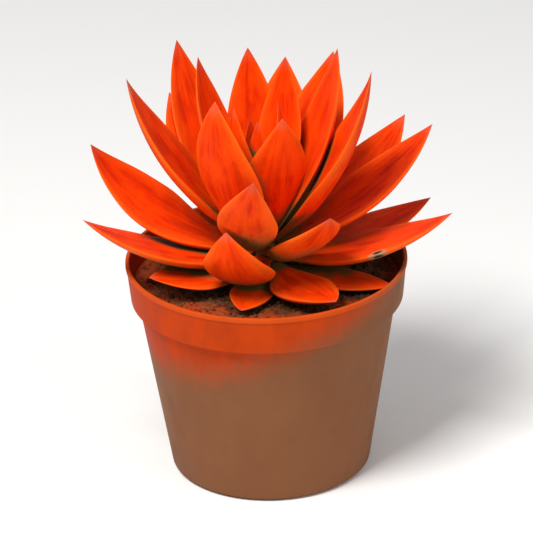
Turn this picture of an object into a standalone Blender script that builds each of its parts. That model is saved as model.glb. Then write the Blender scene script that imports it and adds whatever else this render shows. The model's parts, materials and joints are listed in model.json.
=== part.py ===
"""A potted echeveria: one pointed-leaf rosette on a short stem, in peat, in a thin moulded grower's pot.

Metres, +Z up. The origin is the centre of the pot's underside, where the pot stands.
"""

import math
from collections import namedtuple

import bmesh
import bpy
import numpy as np
from mathutils import Vector, noise

# Pot: a turned shell with a collar band round its mouth
POT_HEIGHT = 0.084
RIM_RADIUS = 0.0525
BAND_HEIGHT = 0.015
BAND_FOOT_RADIUS = 0.0512
BODY_TOP_RADIUS = 0.0486
BASE_RADIUS = 0.0375
POT_WALL = 0.0010
LIP_HEIGHT = 0.0018
LIP_OVERHANG = 0.0004
LIP_ROUNDING = 0.0004
FOOT_ROUNDING = 0.0015
POT_STEPS = 60

# Pot floor: a centre pad and a foot ring stand on the ground, with a raised gutter between them
FLOOR_WALL = 0.0016
PAD_RADIUS = 0.013
GUTTER_RISE = 0.003
GUTTER_SLOPE = 0.002
FOOT_INNER_RADIUS = 0.029
CORNER_HEIGHT = 0.006
DRAIN_COUNT = 8
DRAIN_RADIUS = 0.0032
DRAIN_CIRCLE_RADIUS = 0.022
NOTCH_COUNT = 4
NOTCH_WIDTH = 0.008
NOTCH_DEPTH = 0.0009

# Soil: a plug of peat with a lumpy top and a plain hole for the stem
FIT_GAP = 0.0003
SIDE_GAP = 0.0004
SOIL_BELOW_RIM = 0.0095
SOIL_MOUND = 0.002
SOIL_LUMP = 0.0009
SOIL_LUMP_SIZE = 0.007
SOIL_STEPS = 36
SOIL_RINGS = 8

# Stem: short and tapered, bearing the leaves in one spiral
STEM_DEPTH = 0.020
STEM_RADIUS = 0.0052
STEM_TOP_RADIUS = 0.0022
LEAF_ZONE_START = -0.0035
LEAF_ZONE_HEIGHT = 0.0165
STEM_TOP_AGE = 0.925
STEM_STEPS = 20

# Rosette: leaf 0 is the oldest and lowest, and a leaf's age is 1 where the rise stops growing. Angles are in
# degrees, and a leaf's sizes are those of the largest
LEAF_COUNT = 30
SPIRAL_COUNT = 40
FULL_AGE_INDEX = 32
GOLDEN_ANGLE = 137.508
FIRST_LEAF_ANGLE = 187.0
STEEPEST_RISE = 84.0
LEAF_LENGTH = 0.076
LEAF_WIDTH = 0.0275
LEAF_THICKNESS = 0.0050
LEAF_SEGMENTS = 8
LEAF_RINGS = 14

# How a leaf changes along its length: shares of its full width, thickness or length
WIDEST_AT = 0.5
THICKEST_AT = 0.3
FOOT_WIDTH_SHARE = 0.3
FOOT_THICKNESS_SHARE = 0.32
TIP_WIDTH_POWER = 1.85
TIP_THICKNESS_POWER = 3.5
UPPER_SHARE = 0.22
ROLLED_FROM = 0.7

# How much a leaf is cupped: a curvature of its own, and more where it wraps round the younger leaves
CUP_CURVATURE = 6.0
WRAP_SHARE = 0.85
TIGHTEST_WRAP = 0.004

# How the leaves change with age: value before, value after, age where the change starts, span of the change
LENGTH_WHEN_OLD = (0.64, 1.0, -0.031, 0.219)
LENGTH_WHEN_YOUNG = (1.0, 0.1, 0.72, 0.5)
WIDTH_WHEN_OLD = (0.82, 1.0, 0.0, 0.16)
WIDTH_WHEN_YOUNG = (1.0, 0.08, 0.64, 0.58)
THICKNESS_WHEN_OLD = (0.72, 1.0, 0.0, 0.2)
THICKNESS_WHEN_YOUNG = (1.0, 0.3, 0.6, 0.6)
BEND_WHEN_OLD = (10.0, 34.0, 0.0, 0.25)
BEND_WHEN_YOUNG = (1.0, 0.7, 0.6, 0.4)

# Heart: a core that carries on the stem, with the youngest leaves sunk into it
CORE_RADIUS = 0.0020
CORE_TOP_RADIUS = 0.0011
CORE_STEPS = 12
HEART_LEAF_START = 0.0009

# How single leaves stray from the spiral's rule, and the one leaf that the plant has lost
Stray = namedtuple("Stray", "turn rise length width bend sweep roll", defaults=(0, 0, 1.0, 1.0, 0, 0, 0))
LOST_LEAF = 16
STRAYS = {
    0: Stray(turn=20, rise=9, length=0.88, width=0.9, roll=-12),
    1: Stray(turn=15, rise=-5, length=0.84, width=0.77),
    2: Stray(length=0.72, width=0.8),
    3: Stray(turn=16, rise=-11, length=0.51, width=0.64),
    4: Stray(turn=3, rise=2, length=0.9, width=0.88),
    5: Stray(turn=-4, length=0.45, width=0.8),
    6: Stray(turn=5, rise=-14, length=0.57, width=0.84, bend=-8, sweep=9),
    7: Stray(length=0.85, width=0.95),
    8: Stray(turn=-10, rise=1, length=0.94, width=0.82),
    9: Stray(turn=3, rise=-5, length=0.93, width=0.92),
    10: Stray(rise=8),
    11: Stray(turn=-9, rise=7, length=0.71, width=0.98, bend=66, roll=5),
    12: Stray(turn=-2, length=0.96, width=1.05),
    13: Stray(rise=1, bend=18, roll=-18),
    14: Stray(turn=-12, rise=-1, length=0.7),
    15: Stray(turn=-8, rise=1, length=1.04),
    17: Stray(turn=2, rise=-8, length=0.99, roll=8),
    18: Stray(turn=-11, rise=10, length=1.1, width=0.87, bend=14),
    19: Stray(turn=-26, rise=-7, length=1.03, width=0.86, sweep=20),
    20: Stray(turn=-2, rise=1, length=0.99),
    21: Stray(turn=-9, rise=1, length=1.11, roll=-10),
    22: Stray(turn=7, rise=4, length=1.11, width=1.12, roll=18),
    23: Stray(turn=-10, rise=8, length=0.93, width=0.83),
    24: Stray(turn=-10, rise=4, width=1.1, bend=24),
    25: Stray(turn=1, rise=2, length=1.03, width=0.92),
    26: Stray(turn=-8, rise=3, length=1.03),
    27: Stray(turn=-14, rise=-3, length=0.95, width=1.22),
    28: Stray(turn=-12, length=1.08),
    29: Stray(turn=2, rise=3),
    30: Stray(rise=6, length=1.08),
    32: Stray(turn=-13, rise=-2, length=1.3),
}

LEAF_PAINT = (0.89, 0.050, 0.002)


def blend(low, high, share):
    """Smooth step from low to high as share goes from 0 to 1."""
    share = np.clip(share, 0.0, 1.0)
    return low + (high - low) * share * share * (3.0 - 2.0 * share)


def by_age(course, age):
    """The value that a course of change has reached at an age."""
    before, after, start, span = course
    return float(blend(before, after, (age - start) / span))


def material(name, colour, roughness, metallic=0.0):
    made = bpy.data.materials.new(name)
    made.use_nodes = True
    shader = made.node_tree.nodes["Principled BSDF"]
    shader.inputs["Base Color"].default_value = (*colour, 1.0)
    shader.inputs["Roughness"].default_value = roughness
    shader.inputs["Metallic"].default_value = metallic
    made.diffuse_color = (*colour, 1.0)
    return made


def collection(name, hidden=False):
    made = bpy.data.collections.new(name)
    bpy.context.scene.collection.children.link(made)
    made.hide_render = hidden
    return made


def place(obj, group, finish):
    group.objects.link(obj)
    if finish is not None:
        obj.data.materials.append(finish)
    return obj


def turned(name, profile, steps, group, finish):
    """A closed solid of revolution: the profile's (radius, height) points, screwed round Z."""
    mesh = bpy.data.meshes.new(name)
    points = [(radius, 0.0, height) for radius, height in profile]
    mesh.from_pydata(points, [(i, i + 1) for i in range(len(points) - 1)], [])
    obj = place(bpy.data.objects.new(name, mesh), group, finish)
    screw = obj.modifiers.new("Turn", "SCREW")
    screw.steps = steps
    screw.render_steps = steps
    screw.use_merge_vertices = True
    screw.merge_threshold = 1e-5
    return obj


def body_radius(height):
    """Outer radius of the pot's tapered body at a height."""
    share = height / (POT_HEIGHT - BAND_HEIGHT)
    return BASE_RADIUS + (BODY_TOP_RADIUS - BASE_RADIUS) * share


def pot_profile():
    """Outside from the lip down to the centre, then inside back up to the lip."""
    band_foot = POT_HEIGHT - BAND_HEIGHT
    lip = RIM_RADIUS + LIP_OVERHANG
    outside = [
        (RIM_RADIUS - POT_WALL, POT_HEIGHT),
        (lip - LIP_ROUNDING, POT_HEIGHT),
        (lip, POT_HEIGHT - LIP_ROUNDING),
        (lip, POT_HEIGHT - LIP_HEIGHT + LIP_ROUNDING),
        (RIM_RADIUS, POT_HEIGHT - LIP_HEIGHT),
        (BAND_FOOT_RADIUS, band_foot + LIP_ROUNDING),
        (BAND_FOOT_RADIUS - LIP_ROUNDING, band_foot),
        (body_radius(band_foot), band_foot),
        (body_radius(FOOT_ROUNDING), FOOT_ROUNDING),
        (BASE_RADIUS - FOOT_ROUNDING, 0.0),
        (FOOT_INNER_RADIUS, 0.0),
        (FOOT_INNER_RADIUS - GUTTER_SLOPE, GUTTER_RISE),
        (PAD_RADIUS + GUTTER_SLOPE, GUTTER_RISE),
        (PAD_RADIUS, 0.0),
        (0.0, 0.0),
    ]
    inside = [
        (0.0, FLOOR_WALL),
        (PAD_RADIUS - FLOOR_WALL / 3, FLOOR_WALL),
        (PAD_RADIUS + GUTTER_SLOPE - FLOOR_WALL / 3, GUTTER_RISE + FLOOR_WALL),
        (FOOT_INNER_RADIUS - GUTTER_SLOPE + FLOOR_WALL / 3, GUTTER_RISE + FLOOR_WALL),
        (FOOT_INNER_RADIUS + FLOOR_WALL / 3, 2 * FLOOR_WALL),
        (BASE_RADIUS - 2 * FOOT_ROUNDING, 2 * FLOOR_WALL),
        (body_radius(CORNER_HEIGHT) - POT_WALL, CORNER_HEIGHT),
        (body_radius(band_foot) - POT_WALL, band_foot + POT_WALL),
        (BAND_FOOT_RADIUS - POT_WALL, band_foot + 2 * POT_WALL),
        (RIM_RADIUS - POT_WALL, POT_HEIGHT),
    ]
    return outside + inside


def cut(target, cutters, name):
    difference = target.modifiers.new(name, "BOOLEAN")
    difference.operation = "DIFFERENCE"
    difference.operand_type = "COLLECTION"
    difference.collection = cutters


def cutter(name, mesh, group):
    obj = place(bpy.data.objects.new(name, mesh), group, None)
    obj.hide_render = True
    obj.display_type = "WIRE"
    return obj


def drain_cutters(group):
    for i in range(DRAIN_COUNT):
        angle = 2 * math.pi * (i + 0.5) / DRAIN_COUNT
        work = bmesh.new()
        bmesh.ops.create_cone(
            work, cap_ends=True, segments=12, radius1=DRAIN_RADIUS, radius2=DRAIN_RADIUS, depth=0.02
        )
        mesh = bpy.data.meshes.new("drain")
        work.to_mesh(mesh)
        work.free()
        obj = cutter(f"drain_cutter_{i + 1}", mesh, group)
        obj.location = (
            DRAIN_CIRCLE_RADIUS * math.cos(angle), DRAIN_CIRCLE_RADIUS * math.sin(angle), GUTTER_RISE
        )


def notch_cutters(group):
    """Shallow grooves across the foot ring, so that drained water runs out."""
    length = 2 * (BASE_RADIUS - FOOT_INNER_RADIUS)
    for i in range(NOTCH_COUNT):
        angle = 2 * math.pi * i / NOTCH_COUNT
        work = bmesh.new()
        bmesh.ops.create_cube(work, size=1.0)
        bmesh.ops.scale(work, vec=Vector((length, NOTCH_WIDTH, 2 * NOTCH_DEPTH)), verts=work.verts)
        mesh = bpy.data.meshes.new("notch")
        work.to_mesh(mesh)
        work.free()
        middle = (FOOT_INNER_RADIUS + BASE_RADIUS) / 2
        obj = cutter(f"notch_cutter_{i + 1}", mesh, group)
        obj.location = (middle * math.cos(angle), middle * math.sin(angle), 0.0)
        obj.rotation_euler = (0.0, 0.0, angle)


def make_pot(group, cutters, finish):
    pot = turned("pot", pot_profile(), POT_STEPS, group, finish)
    drain_cutters(cutters)
    notch_cutters(cutters)
    cut(pot, cutters, "Drains")
    return pot


def soil_height(radius):
    """Height of the peat's top before its lumps: a low mound round the stem."""
    inner = body_radius(POT_HEIGHT - BAND_HEIGHT)
    return POT_HEIGHT - SOIL_BELOW_RIM + SOIL_MOUND * (1.0 - min(1.0, radius / inner) ** 2)


def soil_profile():
    """From the foot of the stem's hole, up and out over the top, then down the pot's inside to the floor."""
    band_foot = POT_HEIGHT - BAND_HEIGHT
    hole = STEM_RADIUS + FIT_GAP
    hole_foot = POT_HEIGHT - SOIL_BELOW_RIM - STEM_DEPTH
    edge = BAND_FOOT_RADIUS - POT_WALL
    radii = [hole + (edge - hole) * i / (SOIL_RINGS - 1) for i in range(SOIL_RINGS)]
    floor = GUTTER_RISE + FLOOR_WALL + FIT_GAP
    sides = [
        (BAND_FOOT_RADIUS - POT_WALL - SIDE_GAP, band_foot + 2 * POT_WALL + FIT_GAP),
        (body_radius(band_foot) - POT_WALL - SIDE_GAP, band_foot + POT_WALL + FIT_GAP),
        (body_radius(CORNER_HEIGHT) - POT_WALL - 3 * SIDE_GAP, floor),
        (0.0, floor),
    ]
    return [(0.0, hole_foot), (hole, hole_foot)] + [(radius, soil_height(radius)) for radius in radii] + sides


def make_soil(group, finish):
    """A plug a small gap inside the pot, screwed round Z, with its top lumped by a noise formula."""
    draft = turned("soil_draft", soil_profile(), SOIL_STEPS, group, None)
    mesh = bpy.data.meshes.new_from_object(draft.evaluated_get(bpy.context.evaluated_depsgraph_get()))
    bpy.data.objects.remove(draft)
    hole = STEM_RADIUS + FIT_GAP
    top_foot = POT_HEIGHT - SOIL_BELOW_RIM - SOIL_MOUND
    for vertex in mesh.vertices:
        if math.hypot(vertex.co.x, vertex.co.y) > 1.02 * hole and vertex.co.z > top_foot:
            vertex.co.z += SOIL_LUMP * noise.noise(vertex.co / SOIL_LUMP_SIZE)
    mesh.name = "soil"
    return place(bpy.data.objects.new("soil", mesh), group, finish)


def stem_radius(height):
    """The stem tapers over its leaf zone."""
    base = POT_HEIGHT + LEAF_ZONE_START
    return float(blend(STEM_RADIUS, STEM_TOP_RADIUS, (height - base) / LEAF_ZONE_HEIGHT))


def stem_top():
    return POT_HEIGHT + LEAF_ZONE_START + LEAF_ZONE_HEIGHT * STEM_TOP_AGE


def make_stem(group, finish):
    foot = POT_HEIGHT - SOIL_BELOW_RIM - STEM_DEPTH + FIT_GAP
    start = POT_HEIGHT + LEAF_ZONE_START
    rings = 6
    heights = [start + (stem_top() - start) * i / rings for i in range(rings + 1)]
    profile = [(0.0, stem_top())]
    profile += [(stem_radius(height), height) for height in reversed(heights)]
    profile += [(STEM_RADIUS, foot + 0.4 * STEM_RADIUS), (0.8 * STEM_RADIUS, foot), (0.0, foot)]
    return turned("stem", profile, STEM_STEPS, group, finish)


def leaf_facts(index):
    """What the spiral's rule and the leaf's own stray give it. Slopes are in radians, the rest in metres."""
    stray = STRAYS.get(index, Stray())
    age = index / FULL_AGE_INDEX
    size = by_age(LENGTH_WHEN_OLD, age) * by_age(LENGTH_WHEN_YOUNG, age)
    rise = STEEPEST_RISE * min(age, 1.0) + stray.rise
    bend = by_age(BEND_WHEN_OLD, age) * by_age(BEND_WHEN_YOUNG, age) + stray.bend
    foot = POT_HEIGHT + LEAF_ZONE_START + LEAF_ZONE_HEIGHT * age
    foot_slope = math.radians(rise - bend / 2)
    thick = LEAF_THICKNESS * by_age(THICKNESS_WHEN_OLD, age) * by_age(THICKNESS_WHEN_YOUNG, age)
    tilt = math.sin(foot_slope)
    leaning_in = FOOT_THICKNESS_SHARE * thick * max(UPPER_SHARE * tilt, (UPPER_SHARE - 1.0) * tilt)
    return {
        "turn": math.radians(FIRST_LEAF_ANGLE + GOLDEN_ANGLE * index + stray.turn),
        "start": stem_radius(foot) + FIT_GAP + leaning_in if index < LEAF_COUNT else HEART_LEAF_START,
        "foot": foot,
        "length": LEAF_LENGTH * size * stray.length,
        "width": LEAF_WIDTH * by_age(WIDTH_WHEN_OLD, age) * by_age(WIDTH_WHEN_YOUNG, age) * stray.width,
        "thick": thick,
        "foot_slope": foot_slope,
        "tip_slope": math.radians(rise + bend / 2),
        "sweep": math.radians(stray.sweep),
        "roll": math.radians(stray.roll),
    }


def leaf_points(facts, along, across, side):
    """Points of a leaf that grows toward +X from an upright axis, level with its foot.

    along runs from 0 at the foot to 1 at the tip, across from edge to edge as -1 to 1, and side is 1 on the
    upper face and -1 on the lower.
    """
    turned_through = facts["tip_slope"] - facts["foot_slope"]
    slope = facts["foot_slope"] + turned_through * along
    spine_out = facts["length"] / turned_through * (np.sin(slope) - math.sin(facts["foot_slope"]))
    spine_up = facts["length"] / turned_through * (math.cos(facts["foot_slope"]) - np.cos(slope))
    radius = facts["start"] + spine_out
    before = blend(FOOT_WIDTH_SHARE, 1.0, along / WIDEST_AT)
    after = 1.0 - np.clip((along - WIDEST_AT) / (1.0 - WIDEST_AT), 0.0, 1.0) ** TIP_WIDTH_POWER
    lateral = across * facts["width"] / 2 * before * after
    depth = facts["thick"] * blend(FOOT_THICKNESS_SHARE, 1.0, along / THICKEST_AT)
    depth = depth * (1.0 - along**TIP_THICKNESS_POWER)
    off = np.where(side > 0, UPPER_SHARE * side, (1.0 - UPPER_SHARE) * side) * depth
    curl = CUP_CURVATURE + WRAP_SHARE * np.clip(np.sin(slope), 0.0, 1.0) / np.maximum(radius, TIGHTEST_WRAP)
    sideways = np.sin(curl * lateral) / curl
    off = off + (1.0 - np.cos(curl * lateral)) / curl
    roll = facts["roll"] * blend(0.0, 1.0, along / ROLLED_FROM)
    rolled_sideways = sideways * np.cos(roll) - off * np.sin(roll)
    rolled_off = sideways * np.sin(roll) + off * np.cos(roll)
    swept = rolled_sideways + facts["length"] * facts["sweep"] * along**2 / 2
    out = radius - rolled_off * np.sin(slope)
    up = spine_up + rolled_off * np.cos(slope)
    return np.stack([out, swept, up], axis=-1)


def leaf_mesh(name, facts):
    """A sphere whose rings become the leaf's cross-sections, from a flat foot to a pointed tip."""
    work = bmesh.new()
    bmesh.ops.create_uvsphere(work, u_segments=LEAF_SEGMENTS, v_segments=LEAF_RINGS, radius=1.0)
    co = np.array([v.co for v in work.verts])
    polar = np.arccos(np.clip(-co[:, 2], -1.0, 1.0)) / math.pi
    first = 1.0 / LEAF_RINGS
    along = np.clip((polar - first) / (1.0 - first), 0.0, 1.0)
    ring = np.maximum(np.hypot(co[:, 0], co[:, 1]), 1e-9)
    pole = np.hypot(co[:, 0], co[:, 1]) < 1e-6
    across = np.where(pole, 0.0, co[:, 0] / ring)
    side = np.where(pole, 0.0, co[:, 1] / ring)
    for vertex, point in zip(work.verts, leaf_points(facts, along, across, side)):
        vertex.co = point
    mesh = bpy.data.meshes.new(name)
    work.to_mesh(mesh)
    work.free()
    mesh.shade_smooth()
    return mesh


def make_leaf(name, index, axis, group, finish):
    """One leaf, turned to its place round the upright axis and lifted to its height on the stem."""
    facts = leaf_facts(index)
    leaf = place(bpy.data.objects.new(name, leaf_mesh(name, facts)), group, finish)
    leaf.parent = axis
    leaf.location = (0.0, 0.0, facts["foot"] - POT_HEIGHT)
    leaf.rotation_euler = (0.0, 0.0, facts["turn"])
    return leaf


def make_heart(axis, group, finish):
    """The youngest leaves, joined to one core that stands on the stem's top."""
    base = stem_top() + FIT_GAP
    top = POT_HEIGHT + LEAF_ZONE_START + LEAF_ZONE_HEIGHT * SPIRAL_COUNT / FULL_AGE_INDEX
    middle = (base + top) / 2
    profile = [(0.0, top), (CORE_TOP_RADIUS, top), (CORE_RADIUS, middle), (CORE_RADIUS, base), (0.0, base)]
    core = turned("core_draft", profile, CORE_STEPS, group, None)
    young = collection("heart_leaves", hidden=True)
    for index in range(LEAF_COUNT, SPIRAL_COUNT):
        make_leaf(f"heart_leaf_{index - LEAF_COUNT + 1:02d}", index, axis, young, None)
    union = core.modifiers.new("Join", "BOOLEAN")
    union.operation = "UNION"
    union.operand_type = "COLLECTION"
    union.collection = young
    mesh = bpy.data.meshes.new_from_object(core.evaluated_get(bpy.context.evaluated_depsgraph_get()))
    for used in [core, *young.objects]:
        bpy.data.objects.remove(used)
    bpy.data.collections.remove(young)
    mesh.name = "heart"
    return place(bpy.data.objects.new("heart", mesh), group, finish)


def main():
    for old in list(bpy.data.objects):
        bpy.data.objects.remove(old)
    plant = collection("potted_echeveria")
    cutters = collection("cutters", hidden=True)
    terracotta = material("pot_plastic", (0.50, 0.085, 0.018), 0.38)
    peat = material("peat", (0.040, 0.020, 0.012), 0.95)
    bark = material("stem", (0.16, 0.12, 0.05), 0.8)
    paint = material("leaf_paint", LEAF_PAINT, 0.45)
    make_pot(plant, cutters, terracotta)
    make_soil(plant, peat)
    make_stem(plant, bark)
    axis = place(bpy.data.objects.new("rosette_axis", None), plant, None)
    axis.location = (0.0, 0.0, POT_HEIGHT)
    for index in range(LEAF_COUNT):
        if index != LOST_LEAF:
            make_leaf(f"leaf_{index + 1:02d}", index, axis, plant, paint)
    make_heart(axis, plant, paint)


main()
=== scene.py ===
# %% [markdown]
# # A potted echeveria, sprayed orange
#
# The plant is a rosette of thick pointed leaves. A grower has sprayed it orange-red for sale, from above and
# from the sides. The colour is solid where the nozzle could see the leaf, and thin where it could not.
#
# Every shape is a surface worked out from a formula, as whole arrays of points, and every finish is a
# procedural material. The solids of the model come first: they give the sizes, and they stay as they are.
# Each finer piece below takes the place of one of them.

import json
import math
from collections import namedtuple

import bpy
import numpy as np
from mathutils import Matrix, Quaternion, Vector

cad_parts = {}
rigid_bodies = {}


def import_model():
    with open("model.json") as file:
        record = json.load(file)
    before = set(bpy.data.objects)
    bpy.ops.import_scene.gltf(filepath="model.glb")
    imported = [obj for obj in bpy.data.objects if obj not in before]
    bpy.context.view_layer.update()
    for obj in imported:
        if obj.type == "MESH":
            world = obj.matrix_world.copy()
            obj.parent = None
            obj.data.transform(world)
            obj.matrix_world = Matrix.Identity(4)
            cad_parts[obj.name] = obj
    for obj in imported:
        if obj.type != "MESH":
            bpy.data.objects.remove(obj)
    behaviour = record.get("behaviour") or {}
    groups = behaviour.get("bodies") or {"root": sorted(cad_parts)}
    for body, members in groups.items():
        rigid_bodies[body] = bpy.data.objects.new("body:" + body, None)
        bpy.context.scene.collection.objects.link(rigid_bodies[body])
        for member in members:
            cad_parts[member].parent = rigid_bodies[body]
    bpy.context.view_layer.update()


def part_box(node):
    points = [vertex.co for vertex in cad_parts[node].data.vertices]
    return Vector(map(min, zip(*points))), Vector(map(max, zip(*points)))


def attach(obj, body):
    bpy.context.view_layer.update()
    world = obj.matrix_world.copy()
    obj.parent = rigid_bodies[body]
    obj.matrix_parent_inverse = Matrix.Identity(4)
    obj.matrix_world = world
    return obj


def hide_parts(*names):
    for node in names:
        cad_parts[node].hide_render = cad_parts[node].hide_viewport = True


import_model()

# %% [markdown]
# ## Helpers for surfaces
#
# Leaf, pot, soil and stem are the same kind of surface: rings of points, carried from one end to the other,
# with each end closed by a single point. Each could have its own modifiers, but one grid of points is
# simpler, and it can carry values of its own, such as how much spray reached each spot.

# %% Blending and noise


def ease(low, high, share):
    """low + (high - low) * s * s * (3 - 2 s), with s the share held between 0 and 1."""
    share = np.clip(share, 0.0, 1.0)
    return low + (high - low) * share * share * (3.0 - 2.0 * share)


def lattice_noise(points, size, seed):
    """Smooth noise from -1 to 1. Each corner of a lattice with cells of that size gets a number from a sine
    hash, and a point takes the eased blend of the eight corners round it."""
    scaled = points / size
    cell = np.floor(scaled)
    share = scaled - cell
    share = share * share * (3.0 - 2.0 * share)
    total = np.zeros(points.shape[:-1])
    for corner in np.ndindex(2, 2, 2):
        key = (cell + corner) @ np.array([12.9898, 78.233, 37.719]) + 4.1 * seed
        value = np.sin(key) * 43758.5453
        weight = np.prod(np.where(corner, share, 1.0 - share), axis=-1)
        total += weight * (value - np.floor(value))
    return 2.0 * total - 1.0


print("noise at three points:", lattice_noise(np.eye(3) * 0.37, 1.0, 0).round(3))

# %% A closed surface from rings of points


def ring_faces(rings, sides):
    """Corner numbers of a closed tube: a fan from point 0 to the first ring, squares between rings, and a fan
    to the last point. Side c of ring r is point 1 + r * sides + c."""
    here = 1 + np.arange(rings * sides).reshape(rings, sides)
    beside = np.roll(here, -1, axis=1)
    squares = np.stack([here[:-1], beside[:-1], beside[1:], here[1:]], axis=-1).reshape(-1, 4)
    first = np.stack([np.zeros(sides, int), beside[0], here[0]], axis=-1)
    last = np.stack([np.full(sides, 1 + rings * sides), here[-1], beside[-1]], axis=-1)
    return squares, np.concatenate([first, last])


def signed_volume(points, squares, fans):
    """Sum of a . (b x c) / 6 over the triangles: positive when the faces point outwards."""
    corners = np.concatenate([squares[:, [0, 1, 2]], squares[:, [0, 2, 3]], fans])
    a, b, c = points[corners[:, 0]], points[corners[:, 1]], points[corners[:, 2]]
    return float(np.einsum("ij,ij->i", a, np.cross(b, c)).sum() / 6.0)


def new_mesh(name, points, faces):
    """A mesh from an array of points and the corner numbers of its faces."""
    mesh = bpy.data.meshes.new(name)
    mesh.from_pydata(points.tolist(), [], faces)
    return mesh


def surface_mesh(name, grid, ends, fields):
    """A mesh from a grid of rings (rings, sides, 3), its two end points, and named values on the grid. An end
    point takes the mean of the ring beside it."""
    rings, sides = grid.shape[:2]
    points = np.concatenate([ends[:1], grid.reshape(-1, 3), ends[1:]])
    squares, fans = ring_faces(rings, sides)
    if signed_volume(points, squares, fans) < 0:
        squares, fans = squares[:, ::-1], fans[:, ::-1]
    mesh = new_mesh(name, points, squares.tolist() + fans.tolist())
    for label, values in fields.items():
        kind, key = ("FLOAT_VECTOR", "vector") if values.ndim == 3 else ("FLOAT", "value")
        first, last = (values[ring].mean(axis=0).reshape(1, -1) for ring in (0, -1))
        whole = np.concatenate([first, values.reshape(rings * sides, -1), last])
        mesh.attributes.new(label, kind, "POINT").data.foreach_set(key, whole.astype(np.float32).ravel())
    mesh.shade_smooth()
    return mesh


def put_in_scene(name, data):
    """A new object that holds the data, in the scene's collection."""
    made = bpy.data.objects.new(name, data)
    bpy.context.scene.collection.objects.link(made)
    return made


def add_piece(mesh, finish, node):
    """Puts a mesh in the scene as one piece of the object, in place of the named solid."""
    mesh.materials.clear()
    mesh.materials.append(finish)
    piece = put_in_scene(mesh.name, mesh)
    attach(piece, "root")
    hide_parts(node)


def grid_normals(grid):
    """Unit normal at each grid point: the step round the ring, crossed with the step along the rings."""
    along = np.gradient(grid, axis=0)
    round_it = np.roll(grid, -1, axis=1) - np.roll(grid, 1, axis=1)
    normal = np.cross(round_it, along)
    normal /= np.maximum(np.linalg.norm(normal, axis=-1, keepdims=True), 1e-12)
    outward = grid - grid.mean(axis=(0, 1))
    return normal if (normal * outward).sum() > 0 else -normal


print("a tube of 3 rings with 4 sides has", len(ring_faces(3, 4)[0]), "squares")

# %% [markdown]
# ## Helpers for materials
#
# A finish is a Principled shader with colours and bumps mixed in front of it. The nodes could be made one
# by one, but a helper for each kind of node keeps the recipes short enough to read.

# %% Node helpers


def new_finish(name):
    """A material, and the Principled shader in it."""
    made = bpy.data.materials.new(name)
    made.use_nodes = True
    return made, made.node_tree.nodes["Principled BSDF"]


def node_beside(part, kind):
    """A new node of that kind, in the same node tree as the given node or socket."""
    return part.id_data.nodes.new("ShaderNode" + kind)


def feed_socket(socket, value):
    """Links a socket to another node's output, or sets it to a fixed value, unless that is None."""
    if isinstance(value, bpy.types.NodeSocket):
        socket.id_data.links.new(value, socket)
    elif isinstance(value, tuple) and socket.type == "RGBA":
        socket.default_value = (*value, 1.0)
    elif value is not None:
        socket.default_value = value


def feed(node, **values):
    """Feeds a node's inputs by their names, with an underscore for each space."""
    for label, value in values.items():
        feed_socket(node.inputs[label.replace("_", " ")], value)


def place_of(shader):
    """The Object coordinate, in metres."""
    return node_beside(shader, "TexCoord").outputs["Object"]


def field_of(shader, name, output="Fac"):
    """A value that the mesh carries at its points."""
    node = node_beside(shader, "Attribute")
    node.attribute_name = name
    return node.outputs[output]


def noise_of(where, scale, detail=3.0, roughness=0.55, squeeze=(1.0, 1.0, 1.0)):
    """Noise from 0 to 1 at the coordinate times squeeze times scale."""
    mapping = node_beside(where, "Mapping")
    feed(mapping, Vector=where, Scale=squeeze)
    node = node_beside(where, "TexNoise")
    feed(node, Vector=mapping.outputs["Vector"], Scale=scale, Detail=detail, Roughness=roughness)
    return node.outputs["Fac"]


def joined(first, operation, second):
    """first + second, first - second or first * second, with first another node's output."""
    node = node_beside(first, "Math")
    node.operation = {"+": "ADD", "-": "SUBTRACT", "*": "MULTIPLY"}[operation]
    feed_socket(node.inputs[0], first)
    feed_socket(node.inputs[1], second)
    return node.outputs[0]


def step_of(value, start, end, low=0.0, high=1.0):
    """Eased step of a value: low at start, high at end."""
    node = node_beside(value, "MapRange")
    node.interpolation_type = "SMOOTHSTEP"
    feed(node, Value=value, From_Min=start, From_Max=end, To_Min=low, To_Max=high)
    return node.outputs["Result"]


def mix_of(share, first, second):
    """Colour first * (1 - share) + second * share."""
    node = node_beside(share, "Mix")
    node.data_type = "RGBA"
    feed(node, Factor=share, A=first, B=second)
    return node.outputs["Result"]


def bump_of(height, distance, strength, under=None):
    """Bump from a height of 0 to 1 that stands for that distance in metres, on top of another bump."""
    node = node_beside(height, "Bump")
    feed(node, Height=height, Distance=distance, Strength=strength, Normal=under)
    return node.outputs["Normal"]


print("node helpers ready")

# %% [markdown]
# ## The leaves
#
# Each new leaf grows 137.5 degrees further round than the one before, a little higher and steeper. Old
# leaves lie almost flat on the soil, and the youngest stand upright. Single leaves stray from the rule, as on
# any real plant, and one has been lost.
#
# A leaf could be sculpted, or grown from a cage with subdivision. A formula is better here, because all
# thirty-nine leaves follow one rule: a spine bent to an arc, a width and a thickness that change along it,
# and a cupped cross-section.

# %% Sizes of the rosette, in metres and degrees
POT_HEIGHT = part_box("pot")[1][2]
FIT_GAP = 0.0003
STEM_RADIUS = 0.0052
STEM_TOP_RADIUS = 0.0022
LEAF_ZONE_START = -0.0035
LEAF_ZONE_HEIGHT = 0.0165
STEM_TOP_AGE = 0.925

LEAF_COUNT = 30
SPIRAL_COUNT = 40
FULL_AGE_INDEX = 32
GOLDEN_ANGLE = 137.508
FIRST_LEAF_ANGLE = 187.0
STEEPEST_RISE = 84.0
LEAF_LENGTH = 0.076
LEAF_WIDTH = 0.0275
LEAF_THICKNESS = 0.0050
HEART_LEAF_START = 0.0009
LOST_LEAF = 16

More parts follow.
